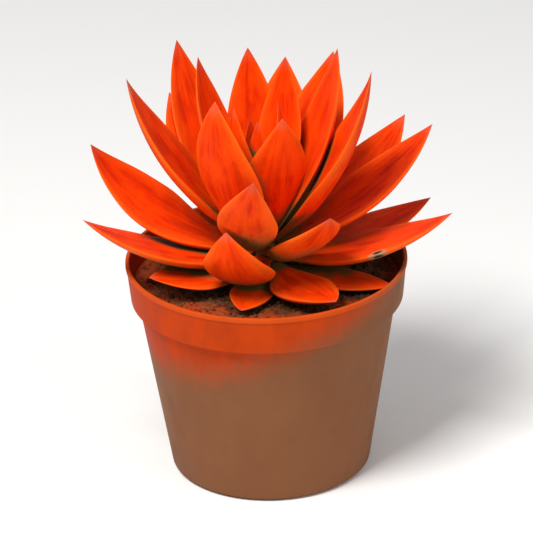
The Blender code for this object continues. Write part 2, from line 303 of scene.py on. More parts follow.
# How the leaves change with age: value before, value after, age where the change starts, span of the change
LENGTH_WHEN_OLD = (0.64, 1.0, -0.031, 0.219)
LENGTH_WHEN_YOUNG = (1.0, 0.1, 0.72, 0.5)
WIDTH_WHEN_OLD = (0.82, 1.0, 0.0, 0.16)
WIDTH_WHEN_YOUNG = (1.0, 0.08, 0.64, 0.58)
THICKNESS_WHEN_OLD = (0.72, 1.0, 0.0, 0.2)
THICKNESS_WHEN_YOUNG = (1.0, 0.3, 0.6, 0.6)
BEND_WHEN_OLD = (10.0, 34.0, 0.0, 0.25)
BEND_WHEN_YOUNG = (1.0, 0.7, 0.6, 0.4)
print("rim at", round(POT_HEIGHT, 4), "m")

# %% How single leaves stray from the rule
Stray = namedtuple("Stray", "turn rise length width bend sweep roll", defaults=(0, 0, 1.0, 1.0, 0, 0, 0))
STRAYS = {
    0: Stray(turn=20, rise=9, length=0.88, width=0.9, roll=-12),
    1: Stray(turn=15, rise=-5, length=0.84, width=0.77),
    2: Stray(length=0.72, width=0.8),
    3: Stray(turn=16, rise=-11, length=0.51, width=0.64),
    4: Stray(turn=3, rise=2, length=0.9, width=0.88),
    5: Stray(turn=-4, length=0.45, width=0.8),
    6: Stray(turn=5, rise=-14, length=0.57, width=0.84, bend=-8, sweep=9),
    7: Stray(length=0.85, width=0.95),
    8: Stray(turn=-10, rise=1, length=0.94, width=0.82),
    9: Stray(turn=3, rise=-5, length=0.93, width=0.92),
    10: Stray(rise=8),
    11: Stray(turn=-9, rise=7, length=0.71, width=0.98, bend=66, roll=5),
    12: Stray(turn=-2, length=0.96, width=1.05),
    13: Stray(rise=1, bend=18, roll=-18),
    14: Stray(turn=-12, rise=-1, length=0.7),
    15: Stray(turn=-8, rise=1, length=1.04),
    17: Stray(turn=2, rise=-8, length=0.99, roll=8),
    18: Stray(turn=-11, rise=10, length=1.1, width=0.87, bend=14),
    19: Stray(turn=-26, rise=-7, length=1.03, width=0.86, sweep=20),
    20: Stray(turn=-2, rise=1, length=0.99),
    21: Stray(turn=-9, rise=1, length=1.11, roll=-10),
    22: Stray(turn=7, rise=4, length=1.11, width=1.12, roll=18),
    23: Stray(turn=-10, rise=8, length=0.93, width=0.83),
    24: Stray(turn=-10, rise=4, width=1.1, bend=24),
    25: Stray(turn=1, rise=2, length=1.03, width=0.92),
    26: Stray(turn=-8, rise=3, length=1.03),
    27: Stray(turn=-14, rise=-3, length=0.95, width=1.22),
    28: Stray(turn=-12, length=1.08),
    29: Stray(turn=2, rise=3),
    30: Stray(rise=6, length=1.08),
    32: Stray(turn=-13, rise=-2, length=1.3),
}
print(len(STRAYS), "leaves stray from the rule")

# %% One leaf's facts
FOOT_THICKNESS_SHARE = 0.32
UPPER_SHARE = 0.22


def by_age(course, age):
    """The value that a course of change has reached at an age: ease(before, after, (age - start) / span)."""
    before, after, start, span = course
    return float(ease(before, after, (age - start) / span))


def stem_radius(height):
    """ease(lower radius, upper radius, share of the way up the leaf zone)."""
    base = POT_HEIGHT + LEAF_ZONE_START
    return float(ease(STEM_RADIUS, STEM_TOP_RADIUS, (height - base) / LEAF_ZONE_HEIGHT))


def leaf_facts(index):
    """A leaf's place and sizes. Each size is the largest leaf's, times its courses of change at the leaf's
    age, times the leaf's own stray, with age = index / FULL_AGE_INDEX."""
    stray = STRAYS.get(index, Stray())
    age = index / FULL_AGE_INDEX
    size = by_age(LENGTH_WHEN_OLD, age) * by_age(LENGTH_WHEN_YOUNG, age)
    rise = STEEPEST_RISE * min(age, 1.0) + stray.rise
    bend = by_age(BEND_WHEN_OLD, age) * by_age(BEND_WHEN_YOUNG, age) + stray.bend
    foot = POT_HEIGHT + LEAF_ZONE_START + LEAF_ZONE_HEIGHT * age
    foot_slope = math.radians(rise - bend / 2)
    thick = LEAF_THICKNESS * by_age(THICKNESS_WHEN_OLD, age) * by_age(THICKNESS_WHEN_YOUNG, age)
    tilt = math.sin(foot_slope)
    leaning_in = FOOT_THICKNESS_SHARE * thick * max(UPPER_SHARE * tilt, (UPPER_SHARE - 1.0) * tilt)
    return {
        "turn": math.radians(FIRST_LEAF_ANGLE + GOLDEN_ANGLE * index + stray.turn),
        "start": stem_radius(foot) + FIT_GAP + leaning_in if index < LEAF_COUNT else HEART_LEAF_START,
        "foot": foot,
        "length": LEAF_LENGTH * size * stray.length,
        "width": LEAF_WIDTH * by_age(WIDTH_WHEN_OLD, age) * by_age(WIDTH_WHEN_YOUNG, age) * stray.width,
        "thick": thick,
        "foot_slope": foot_slope,
        "tip_slope": math.radians(rise + bend / 2),
        "sweep": math.radians(stray.sweep),
        "roll": math.radians(stray.roll),
    }


longest = max((leaf_facts(index) for index in range(SPIRAL_COUNT)), key=lambda facts: facts["length"])
print("longest leaf:", round(longest["length"], 4), "m")

# %% A leaf's cross-sections
WIDEST_AT = 0.5
THICKEST_AT = 0.3
FOOT_WIDTH_SHARE = 0.3
TIP_WIDTH_POWER = 1.85
TIP_THICKNESS_POWER = 3.5
KEEL_SHARE = 0.12
KEEL_START = 0.4
ROLLED_FROM = 0.7
CUP_CURVATURE = 6.0
WRAP_SHARE = 0.85
TIGHTEST_WRAP = 0.004


def leaf_half_width(facts, along):
    """width / 2 * ease(0.3 to 1 by the middle) * (1 - s ** 1.85), with s the share of the outer half."""
    outer = np.clip((along - WIDEST_AT) / (1.0 - WIDEST_AT), 0.0, 1.0)
    widening = ease(FOOT_WIDTH_SHARE, 1.0, along / WIDEST_AT)
    return facts["width"] / 2 * widening * (1.0 - outer**TIP_WIDTH_POWER)


def leaf_relief(facts, along, side):
    """Height above the leaf's middle surface: 0.22 of the thickness above and 0.78 below, with a blunt keel
    under the outer part. The thickness is ease(0.32 to 1) as far as 0.3, times 1 - along ** 3.5."""
    swell = ease(FOOT_THICKNESS_SHARE, 1.0, along / THICKEST_AT) * (1.0 - along**TIP_THICKNESS_POWER)
    keel = 1.0 + KEEL_SHARE * ease(0.0, 1.0, (along - KEEL_START) / KEEL_START) * np.abs(side) ** 6
    lower = (1.0 - UPPER_SHARE) * side * keel
    return np.where(side > 0, UPPER_SHARE * side, lower) * facts["thick"] * swell


def edge_waves(along, across, seed):
    """Slight swelling and narrowing of each edge: 1 plus a long wave of 1.2% and a short one of 0.8%."""
    long_wave = 0.012 * np.sin(9.0 * along + seed)
    short_wave = 0.008 * np.sin(23.0 * along + 2.3 * seed + 1.5 * np.sign(across))
    return 1.0 + long_wave + short_wave


print("half width in the middle:", leaf_half_width(longest, np.array(0.5)).round(4))

# %% One leaf's surface


def leaf_shape(facts, along, across, side, seed=0.0):
    """Points of a leaf: along is 0 at the foot and 1 at the tip, across is -1 to 1 from edge to edge, side is
    1 on the upper face and -1 on the lower. The spine is an arc whose slope goes evenly from the foot's to
    the tip's. Across, the leaf is bent with a curvature of 6 per metre, and 0.85 * sin(slope) / radius more
    where it wraps round the younger leaves."""
    turned_through = facts["tip_slope"] - facts["foot_slope"]
    slope = facts["foot_slope"] + turned_through * along
    spine_out = facts["length"] / turned_through * (np.sin(slope) - math.sin(facts["foot_slope"]))
    spine_up = facts["length"] / turned_through * (math.cos(facts["foot_slope"]) - np.cos(slope))
    radius = facts["start"] + spine_out
    lateral = across * leaf_half_width(facts, along) * edge_waves(along, across, seed)
    wrap = WRAP_SHARE * np.clip(np.sin(slope), 0.0, 1.0) / np.maximum(radius, TIGHTEST_WRAP)
    curl = CUP_CURVATURE + wrap
    sideways = np.sin(curl * lateral) / curl
    off = leaf_relief(facts, along, side) + (1.0 - np.cos(curl * lateral)) / curl
    roll = facts["roll"] * ease(0.0, 1.0, along / ROLLED_FROM)
    rolled_sideways = sideways * np.cos(roll) - off * np.sin(roll)
    rolled_off = sideways * np.sin(roll) + off * np.cos(roll)
    swept = rolled_sideways + facts["length"] * facts["sweep"] * along**2 / 2
    out = radius - rolled_off * np.sin(slope)
    up = facts["foot"] + spine_up + rolled_off * np.cos(slope)
    cos, sin = math.cos(facts["turn"]), math.sin(facts["turn"])
    return np.stack([out * cos - swept * sin, out * sin + swept * cos, up], axis=-1)


tip = leaf_shape(longest, np.array(1.0), np.array(0.0), np.array(0.0))
print("the longest leaf's tip is at", tip.round(4))

# %% Values that a leaf's finish reads, and all the leaves
LEAF_RINGS = 72
LEAF_SIDES = 44
MARGIN_POWER = 5
MARGIN_AT_TIP = 0.4
TIP_START = 0.90
TIP_WEAR = 0.35
WORN_TIP_LEAF = 21
SCARRED_LEAF = 9
SCAR_SPOT = (-11.6, 41.0)
SCAR_SIZE = (1.9, 3.3)
LEAF_APART = 31.0
FACE_APART = 3.0

rings = np.linspace(0.0, 1.0, LEAF_RINGS + 1)[:-1]
angles = np.linspace(0.0, 2.0 * np.pi, LEAF_SIDES, endpoint=False)
along_grid, angle_grid = np.meshgrid(rings, angles, indexing="ij")
near_tip = (along_grid - TIP_START) / (1.0 - TIP_START)


def leaf_scar(grain):
    """Dry scar on the near edge of one leaf: e to the minus (distance / size) squared, in the leaf's
    millimetres across and along, with a ragged edge from noise."""
    gap = (grain[..., :2] - SCAR_SPOT) / SCAR_SIZE
    ragged = 1.0 + 0.5 * lattice_noise(grain, 1.6, 4)
    return np.exp(-ragged * (gap**2).sum(axis=-1))


def leaf_surface(index):
    """A leaf's grid, its two end points and the values that its finish reads. grain is the place on the leaf
    in millimetres, across and along, with a third number that sets faces and leaves apart."""
    facts = leaf_facts(index)
    across, side = np.cos(angle_grid), np.sin(angle_grid)
    grid = leaf_shape(facts, along_grid, across, side, seed=float(index))
    ends = leaf_shape(facts, np.array([0.0, 1.0]), np.zeros(2), np.zeros(2))
    width = 1000.0 * facts["width"] / 2 * across
    length = 1000.0 * facts["length"] * along_grid
    grain = np.stack([width, length, FACE_APART * side + LEAF_APART * index], axis=-1)
    wear = 1.0 if index == WORN_TIP_LEAF else TIP_WEAR
    fields = {
        "grain": grain,
        # The margin value is the share of the painted highlight along the edges, less at the tip.
        "margin": np.abs(across) ** MARGIN_POWER * ease(1.0, MARGIN_AT_TIP, near_tip),
        "tip": wear * ease(0.0, 1.0, near_tip),
        "scar": leaf_scar(grain) if index == SCARRED_LEAF else 0.0 * along_grid,
    }
    return grid, ends, fields


surfaces = {}
for index in range(SPIRAL_COUNT):
    if index == LOST_LEAF:
        continue
    young = index >= LEAF_COUNT
    name = f"heart_leaf_{index - LEAF_COUNT + 1:02d}" if young else f"leaf_{index + 1:02d}"
    surfaces[name + "_skin"] = (*leaf_surface(index), "heart" if young else name)
print("leaf surfaces:", len(surfaces))

# %% [markdown]
# ## The stem and the growing tip
#
# A short stretch of stem shows between the lowest leaves and the soil. It is a taper with the scars of lost
# leaves. It could be a cylinder with a displacement, but a profile carried round the axis, with a little
# relief on top, gives the same taper as the leaves start from. The growing tip carries the stem on, and the
# smallest leaves are sunk in it.

# %% Turned surfaces


def turned_surface(profile, sides):
    """Each (radius, height) of the profile goes to (radius cos a, radius sin a, height) for every angle a.
    The two end points lie on the axis."""
    angle = np.linspace(0.0, 2.0 * np.pi, sides, endpoint=False)
    radius, height = profile[1:-1, 0, None], profile[1:-1, 1, None]
    grid = np.stack([radius * np.cos(angle), radius * np.sin(angle), height + 0.0 * angle], axis=-1)
    ends = np.array([[0.0, 0.0, profile[0, 1]], [0.0, 0.0, profile[-1, 1]]])
    return grid, ends


def closed_rod(radii, heights, sides):
    """A turned surface with a flat end at the first and the last height."""
    side_line = np.column_stack([radii, heights])
    return turned_surface(np.vstack([[0.0, heights[0]], side_line, [0.0, heights[-1]]]), sides)


print("a rod's grid:", closed_rod([1.0, 1.0], [0.0, 1.0], 4)[0].shape)

# %% Stem and core
STEM_TOP = POT_HEIGHT + LEAF_ZONE_START + LEAF_ZONE_HEIGHT * STEM_TOP_AGE
STEM_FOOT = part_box("stem")[0][2]
STEM_SIDES = 48
STEM_SCAR_DEPTH = 0.06
STEM_SCAR_WIDTH = 0.0022
STEM_SCAR_FLATNESS = 2.2
CORE_RADIUS = 0.0020
CORE_TOP_RADIUS = 0.0011
CORE_SIDES = 24

stem_heights = np.linspace(STEM_FOOT, STEM_TOP, 60)
stem_radii = [stem_radius(height) for height in stem_heights]
stem_grid, stem_ends = closed_rod(stem_radii, stem_heights, STEM_SIDES)
scars = lattice_noise(stem_grid * [1.0, 1.0, STEM_SCAR_FLATNESS], STEM_SCAR_WIDTH, 3)
stem_grid[:, :, :2] *= 1.0 - STEM_SCAR_DEPTH * np.clip(scars, 0.0, 1.0)[..., None]

core_foot = STEM_TOP + FIT_GAP
core_top = POT_HEIGHT + LEAF_ZONE_START + LEAF_ZONE_HEIGHT * SPIRAL_COUNT / FULL_AGE_INDEX
core_heights = np.linspace(core_foot, core_top, 16)
upper_half = (core_heights - (core_foot + core_top) / 2) / ((core_top - core_foot) / 2)
core_radii = ease(CORE_RADIUS, CORE_TOP_RADIUS, upper_half)
core_grid, core_ends = closed_rod(core_radii, core_heights, CORE_SIDES)
print("stem up to", round(STEM_TOP, 4), "m, core up to", round(core_top, 4), "m")

# %% [markdown]
# ## The pot
#
# A thin moulded grower's pot: a tapered body, a collar band round its mouth, a small lip on the band, and a
# floor with a raised gutter where the water drains. It could be a cylinder with loops pushed about, but a
# moulded pot is a turned shape, so its wall is one closed profile, outside and inside, carried round the
# axis. Each rounded corner is a curve worked out from the two lines that meet there.

# %% Sizes of the pot, in metres
RIM_RADIUS = 0.0525
BAND_HEIGHT = 0.015
BAND_FOOT_RADIUS = 0.0512
BODY_TOP_RADIUS = 0.0486
BASE_RADIUS = 0.0375
POT_WALL = 0.0010
LIP_HEIGHT = 0.0018
LIP_OVERHANG = 0.0004
LIP_ROUNDING = 0.0004
FOOT_ROUNDING = 0.0015
FLOOR_WALL = 0.0016
PAD_RADIUS = 0.013
GUTTER_RISE = 0.003
GUTTER_SLOPE = 0.002
FOOT_INNER_RADIUS = 0.029
CORNER_HEIGHT = 0.006
BAND_FOOT = POT_HEIGHT - BAND_HEIGHT
POT_SIDES = 192


def body_radius(height):
    """Outer radius of the tapered body: a straight line from the foot to the band."""
    return BASE_RADIUS + (BODY_TOP_RADIUS - BASE_RADIUS) * height / BAND_FOOT


def rounded(corners, radius, steps=5):
    """A profile with each inner corner B replaced by the curve (1 - t)^2 A + 2 t (1 - t) B + t^2 C, where A
    lies on the way in and C on the way out, each at that distance from B or less."""
    corners = np.asarray(corners, float)
    made = [corners[:1]]
    share = np.linspace(0.0, 1.0, steps)[:, None]
    for before, corner, after in zip(corners[:-2], corners[1:-1], corners[2:]):
        ends = []
        for way in (before - corner, after - corner):
            length = np.linalg.norm(way)
            ends.append(corner + way * min(radius, 0.45 * length) / length)
        made.append((1 - share) ** 2 * ends[0] + 2 * share * (1 - share) * corner + share**2 * ends[1])
    made.append(corners[-1:])
    return np.vstack(made)


print("foot is", 2 * body_radius(0.0), "m across")

# %% The pot's wall as one closed profile
lip = RIM_RADIUS + LIP_OVERHANG
gutter_from = PAD_RADIUS + GUTTER_SLOPE
gutter_to = FOOT_INNER_RADIUS - GUTTER_SLOPE
inner_step = FLOOR_WALL / 3
underside = [(0.0, 0.0), (PAD_RADIUS, 0.0), (gutter_from, GUTTER_RISE), (gutter_to, GUTTER_RISE)]
underside += [(FOOT_INNER_RADIUS, 0.0), (BASE_RADIUS - FOOT_ROUNDING, 0.0)]
outside = [
    (body_radius(FOOT_ROUNDING), FOOT_ROUNDING),
    (body_radius(BAND_FOOT), BAND_FOOT),
    (BAND_FOOT_RADIUS, BAND_FOOT),
    (RIM_RADIUS, POT_HEIGHT - LIP_HEIGHT),
    (lip, POT_HEIGHT - LIP_HEIGHT),
    (lip, POT_HEIGHT),
    (RIM_RADIUS - POT_WALL, POT_HEIGHT),
]
inside = [
    (BAND_FOOT_RADIUS - POT_WALL, BAND_FOOT + 2 * POT_WALL),
    (body_radius(BAND_FOOT) - POT_WALL, BAND_FOOT + POT_WALL),
    (body_radius(CORNER_HEIGHT) - POT_WALL, CORNER_HEIGHT),
    (BASE_RADIUS - 2 * FOOT_ROUNDING, 2 * FLOOR_WALL),
    (FOOT_INNER_RADIUS + inner_step, 2 * FLOOR_WALL),
    (gutter_to + inner_step, GUTTER_RISE + FLOOR_WALL),
    (gutter_from - inner_step, GUTTER_RISE + FLOOR_WALL),
    (PAD_RADIUS - inner_step, FLOOR_WALL),
    (0.0, FLOOR_WALL),
]
pot_profile = rounded(underside + outside + inside, LIP_ROUNDING)
pot_grid, pot_ends = turned_surface(pot_profile, POT_SIDES)
print("pot profile of", len(pot_profile), "points")

# %% [markdown]
# ## The soil
#
# Peat fills the pot to just under its rim: a plug with a crumbly top. It could be a displaced disc, but the
# plug is a turned profile like the pot, with its top lifted by three sizes of noise, so that loose crumbs can
# be laid on the same formula.

# %% The plug
SOIL_BELOW_RIM = 0.0095
SOIL_MOUND = 0.002
STEM_DEPTH = 0.020
SIDE_GAP = 0.0004
SOIL_HOLE = STEM_RADIUS + FIT_GAP
SOIL_EDGE = BAND_FOOT_RADIUS - POT_WALL
SOIL_SIDES = 240
SOIL_RINGS = 110
SOIL_TOP = POT_HEIGHT - SOIL_BELOW_RIM
HOLE_FADE = 0.003
EDGE_FADE = 0.0015
LUMP_HEIGHT, LUMP_WIDTH = 0.0008, 0.006
CLOD_HEIGHT, CLOD_WIDTH = 0.0010, 0.0030
GRAIN_HEIGHT, GRAIN_WIDTH = 0.0005, 0.0011


def soil_relief(x, y):
    """Height of the peat's top: a low mound, 1 - r^2 / R^2, plus noise as lumps, clods and grains, which die
    out at the stem's hole and at the wall."""
    radius = np.hypot(x, y)
    mound = SOIL_MOUND * (1.0 - np.minimum(1.0, radius / BODY_TOP_RADIUS) ** 2)
    spot = np.stack([x, y, 0.0 * x], axis=-1)
    lumps = LUMP_HEIGHT * lattice_noise(spot, LUMP_WIDTH, 1)
    clods = CLOD_HEIGHT * np.abs(lattice_noise(spot, CLOD_WIDTH, 2))
    grains = GRAIN_HEIGHT * lattice_noise(spot, GRAIN_WIDTH, 5)
    from_hole = ease(0.0, 1.0, (radius - SOIL_HOLE) / HOLE_FADE)
    from_wall = ease(0.0, 1.0, (SOIL_EDGE - radius) / EDGE_FADE)
    return SOIL_TOP + mound + from_hole * from_wall * (lumps + clods + grains)


hole_foot = SOIL_TOP - STEM_DEPTH
soil_floor = GUTTER_RISE + FLOOR_WALL + FIT_GAP
top_line = np.column_stack([np.linspace(SOIL_HOLE, SOIL_EDGE, SOIL_RINGS), np.full(SOIL_RINGS, SOIL_TOP)])
hole_wall = [(0.0, hole_foot), (SOIL_HOLE, hole_foot)]
side_wall = [
    (SOIL_EDGE - SIDE_GAP, BAND_FOOT + 2 * POT_WALL + FIT_GAP),
    (body_radius(BAND_FOOT) - POT_WALL - SIDE_GAP, BAND_FOOT + POT_WALL + FIT_GAP),
    (body_radius(CORNER_HEIGHT) - POT_WALL - 3 * SIDE_GAP, soil_floor),
    (0.0, soil_floor),
]
soil_grid, soil_ends = turned_surface(np.vstack([hole_wall, top_line, side_wall]), SOIL_SIDES)
top = slice(1, 1 + SOIL_RINGS)
soil_grid[top, :, 2] = soil_relief(soil_grid[top, :, 0], soil_grid[top, :, 1])
print("soil top up to", soil_grid[top, :, 2].max().round(4), "m")

# %% [markdown]
# ## Where the spray reached
#
# The colour is thick on what the nozzle saw and thin in the folds. It could be painted by hand, or shaded by
# how deep a point lies. It is better to copy the spraying: the nozzle goes round the plant at several
# heights. From each stand, the nearest surface in each small square of its view gets colour, and more of it
# the more squarely it faces the nozzle.

# %% Spray every surface at once
# Each ring of stands: degrees above level, how many, how much colour, and the first one's place in its share
Stands = namedtuple("Stands", "height count share first")
NOZZLE_RINGS = [Stands(12.0, 12, 1.0, 0.0), Stands(35.0, 12, 1.0, 0.5), Stands(60.0, 8, 1.0, 0.5)]
NOZZLE_RINGS += [Stands(88.0, 1, 3.0, 0.5)]
SQUARE = 0.0016
BEHIND = 0.0028


def seen_from(points, toward):
    """True for the points that no other point hides from that direction, to within BEHIND."""
    side = np.cross([0.0, 0.0, 1.0], toward)
    side /= np.linalg.norm(side)
    over = np.cross(toward, side)
    column = np.floor(points @ side / SQUARE).astype(int)
    row = np.floor(points @ over / SQUARE).astype(int)
    column -= column.min()
    row -= row.min()
    key = row * (column.max() + 1) + column
    depth = points @ toward
    nearest = np.full(key.max() + 1, -np.inf)
    np.maximum.at(nearest, key, depth)
    return depth > nearest[key] - BEHIND


def direction(height, way):
    """Unit vector that looks up by one angle and round by the other."""
    return np.array([math.cos(height) * math.cos(way), math.cos(height) * math.sin(way), math.sin(height)])


def spray_reach(points, normals):
    """Sum over the nozzle's stands of share * max(normal . toward, 0), for the points it sees."""
    reach = np.zeros(len(points))
    for ring in NOZZLE_RINGS:
        for stand in range(ring.count):
            way = 2.0 * math.pi * (stand + ring.first) / ring.count
            toward = direction(math.radians(ring.height), way)
            reach += ring.share * seen_from(points, toward) * np.clip(normals @ toward, 0.0, 1.0)
    return reach


grids = {name: made[0] for name, made in surfaces.items()}
grids["soil_plug"] = soil_grid[top]
grids["pot_wall"] = pot_grid
grids["stem_bark"] = stem_grid
all_points = np.concatenate([grid.reshape(-1, 3) for grid in grids.values()])
all_normals = np.concatenate([grid_normals(grid).reshape(-1, 3) for grid in grids.values()])
# On the leaves, low reach leaves the dark olive bare, which also serves as painted shade in the folds.
all_reach = spray_reach(all_points, all_normals)
print("sprayed", len(all_points), "points")

# %% Share the reach out to the pieces, softened
SOFTENING = 3


def softened(values, rounds):
    """(2 v + the four neighbours of v on the grid) / 6, repeated. The grid wraps round along its rings."""
    for _ in range(rounds):
        before = np.concatenate([values[:1], values[:-1]])
        after = np.concatenate([values[1:], values[-1:]])
        beside = np.roll(values, 1, axis=1) + np.roll(values, -1, axis=1)
        values = (2.0 * values + before + after + beside) / 6.0
    return values


counts = [grid.shape[0] * grid.shape[1] for grid in grids.values()]
reach = {}
for (name, grid), share in zip(grids.items(), np.split(all_reach, np.cumsum(counts)[:-1])):
    reach[name] = softened(share.reshape(grid.shape[:2]), SOFTENING)
leaf_reach = np.concatenate([reach[name].ravel() for name in surfaces])
print("reach on the leaves:", np.percentile(leaf_reach, [10, 50, 90]).round(2))

# %% [markdown]
# ## The leaf's finish
#
# Under the colour the leaf is a dull olive green, made dark so that it is also painted shade in the folds
# where little spray arrived. The colour lies on it as a satin coat that breaks into fine droplets where
# little of it arrived. It is lighter along the margins, a painted highlight for light caught by the thin
# edges; it is redder in streaks that run with the leaf, and rubbed at the tips, one of them more than the
# others. It could be one orange with a noise on it, but a coat over dark olive lets the simulated spray
# decide where the green and the painted shade show. All the noises read the place on the leaf, so the streaks
# follow its bend.

# %% Leaf material: the coat's colours
# The dark olive is the bare leaf, and also painted shade in the folds where the coat is thin.
OLIVE_AND_SHADE = ((0.115, 0.085, 0.018), (0.210, 0.140, 0.040))
STREAK = ((0.640, 0.020, 0.0008), (0.900, 0.044, 0.0012))
BRIGHT = (0.960, 0.070, 0.0014)
DARK_CLOUD = (0.560, 0.040, 0.002)
# The next colour is a painted highlight along the leaf margins, for light caught by the thin edges.
MARGIN_HIGHLIGHT = (0.980, 0.140, 0.010)

leaf_finish, shader = new_finish("sprayed_leaf")
grain = field_of(shader, "grain", "Vector")
streaks = noise_of(grain, 1.0, detail=5.0, roughness=0.6, squeeze=(0.38, 0.035, 0.2))
clouds = noise_of(grain, 1.0, detail=4.0, squeeze=(0.13, 0.075, 0.1))
droplets = noise_of(grain, 1.0, detail=4.0, roughness=0.7, squeeze=(1.9, 1.3, 1.2))
specks = noise_of(grain, 1.0, detail=1.0, squeeze=(0.75, 0.55, 0.9))
streaked = mix_of(step_of(streaks, 0.36, 0.64), *STREAK)
brightened = mix_of(step_of(clouds, 0.38, 0.66, 0.0, 0.7), streaked, BRIGHT)
clouded = mix_of(step_of(clouds, 0.46, 0.30, 0.0, 0.5), brightened, DARK_CLOUD)
# Painted highlight: the margins are mixed towards the lighter orange.
margin_highlighted = mix_of(joined(field_of(shader, "margin"), "*", 0.75), clouded, MARGIN_HIGHLIGHT)
print("coat colours use", len(shader.id_data.nodes), "nodes")

# %% Leaf material: where the coat is thin (dark olive, also painted shade), rubbed, speckled or scarred
RUBBED = (0.58, 0.30, 0.19)
SPECK = (0.130, 0.022, 0.004)
SCAR_EDGE = (0.42, 0.25, 0.14)
SCAR_HEART = (0.045, 0.020, 0.008)

# Where little spray reached, the dark olive shows: bare leaf, and painted shade in the folds.
olive_and_shade = mix_of(clouds, *OLIVE_AND_SHADE)
cover = joined(field_of(shader, "coat"), "-", joined(droplets, "*", 0.55))
covered = step_of(joined(cover, "-", joined(streaks, "*", 0.40)), -0.26, 0.20)
painted = mix_of(covered, olive_and_shade, margin_highlighted)
rub = joined(field_of(shader, "tip"), "*", step_of(droplets, 0.36, 0.58))
rubbed = mix_of(rub, painted, RUBBED)
speckled = mix_of(step_of(specks, 0.745, 0.80, 0.0, 0.55), rubbed, SPECK)
scar = field_of(shader, "scar")
edge_scarred = mix_of(step_of(scar, 0.25, 0.6), speckled, SCAR_EDGE)
scarred = mix_of(step_of(scar, 0.6, 0.85), edge_scarred, SCAR_HEART)
print("leaf colours use", len(shader.id_data.nodes), "nodes")

# %% Leaf material: sheen and relief
fine = bump_of(droplets, 0.00006, 0.5)
ribs = bump_of(streaks, 0.0006, 0.8, under=fine)
feed(shader, Base_Color=scarred, Roughness=step_of(droplets, 0.25, 0.75, 0.44, 0.60), Normal=ribs)
feed(shader, Specular_IOR_Level=0.07, Specular_Tint=(1.0, 0.55, 0.35))
print("leaf finish has", len(shader.id_data.nodes), "nodes")

# %% Leaf pieces
LEAF_COAT_RATE = 0.42


def coat_of(reached, rate):
    """Share of the surface that the colour covers: 1 - e to the minus rate * reach."""
    return 1.0 - np.exp(-rate * reached)


for name, (grid, ends, fields, node) in surfaces.items():
    mesh = surface_mesh(name, grid, ends, fields | {"coat": coat_of(reach[name], LEAF_COAT_RATE)})
    add_piece(mesh, leaf_finish, node)
print("leaf pieces:", len(surfaces))

# %% [markdown]
# ## The stem's finish
#
# The old stem is bark-brown, matt, and dusted with colour. It could read the simulated spray like the leaves,
# but so little of it shows that a fine noise does as well.

# %% Stem material and pieces
BARK = ((0.050, 0.030, 0.010), (0.130, 0.075, 0.022))
STEM_DUST = (0.62, 0.060, 0.006)

bark_finish, shader = new_finish("stem_bark")
place = place_of(shader)
patches = noise_of(place, 420.0, detail=5.0)
dust = step_of(noise_of(place, 1500.0), 0.50, 0.66, 0.0, 0.6)
dusted = mix_of(dust, mix_of(patches, *BARK), STEM_DUST)
feed(shader, Base_Color=dusted, Roughness=0.82, Normal=bump_of(patches, 0.0004, 0.8))
add_piece(surface_mesh("stem_bark", stem_grid, stem_ends, {}), bark_finish, "stem")
add_piece(surface_mesh("heart_core", core_grid, core_ends, {}), bark_finish, "heart")
print("stem and core in place")

# %% [markdown]
# ## The pot's drains
#
# Water leaves by eight round holes in the gutter, and by four shallow grooves across the foot ring. The
# holes could be left out of the grid point by point, but drilling is simpler: round and flat cutters are
# taken from the wall with one Boolean, which is applied.

# %% Cutters
DRAIN_COUNT = 8
DRAIN_RADIUS = 0.0032
DRAIN_CIRCLE_RADIUS = 0.022
DRAIN_REACH = (-0.007, 0.013)
DRAIN_SIDES = 40
NOTCH_COUNT = 4
NOTCH_WIDTH = 0.008
NOTCH_DEPTH = 0.0009


def turned_about(points, angle):
    """Points turned round the upright axis: (x, y) goes to (x cos a - y sin a, x sin a + y cos a)."""
    cos, sin = math.cos(angle), math.sin(angle)
    return points @ np.array([[cos, sin, 0.0], [-sin, cos, 0.0], [0.0, 0.0, 1.0]])


def drain_cutter(number):
    """An upright round rod through the gutter."""
    angle = 2.0 * math.pi * (number + 0.5) / DRAIN_COUNT
    grid, ends = closed_rod([DRAIN_RADIUS, DRAIN_RADIUS], DRAIN_REACH, DRAIN_SIDES)
    shift = DRAIN_CIRCLE_RADIUS * direction(0.0, angle)
    return surface_mesh(f"drain_{number}", grid + shift, ends + shift, {})


def notch_cutter(number):
    """A flat slab across the foot ring: a rod with four sides, turned to lie square, stretched and turned."""
    angle = 2.0 * math.pi * number / NOTCH_COUNT
    shift = (FOOT_INNER_RADIUS + BASE_RADIUS) / 2 * direction(0.0, angle)
    grid, ends = closed_rod([math.sqrt(0.5), math.sqrt(0.5)], [-NOTCH_DEPTH, NOTCH_DEPTH], 4)
    stretch = [2.0 * (BASE_RADIUS - FOOT_INNER_RADIUS), NOTCH_WIDTH, 1.0]
    slab, tips = (turned_about(turned_about(a, math.pi / 4) * stretch, angle) + shift for a in (grid, ends))
    return surface_mesh(f"notch_{number}", slab, tips, {})


cutters = bpy.data.collections.new("pot_cutters")
cutter_meshes = [drain_cutter(number) for number in range(DRAIN_COUNT)]
cutter_meshes += [notch_cutter(number) for number in range(NOTCH_COUNT)]
for mesh in cutter_meshes:
    cutters.objects.link(bpy.data.objects.new(mesh.name, mesh))
print("cutters:", len(cutter_meshes))

# %% Drill the floor
SHARP_ANGLE = math.radians(32.0)

blank = put_in_scene("pot_blank", surface_mesh("pot_blank", pot_grid, pot_ends, {}))
drill = blank.modifiers.new("Drains", "BOOLEAN")
drill.operation = "DIFFERENCE"
drill.operand_type = "COLLECTION"
drill.collection = cutters
bpy.context.view_layer.update()
pot_mesh = bpy.data.meshes.new_from_object(blank.evaluated_get(bpy.context.evaluated_depsgraph_get()))
pot_mesh.name = "pot_wall"
for used in [blank, *cutters.objects]:
    bpy.data.objects.remove(used)
bpy.data.collections.remove(cutters)
pot_mesh.set_sharp_from_angle(angle=SHARP_ANGLE)
print("drilled pot has", len(pot_mesh.polygons), "faces")
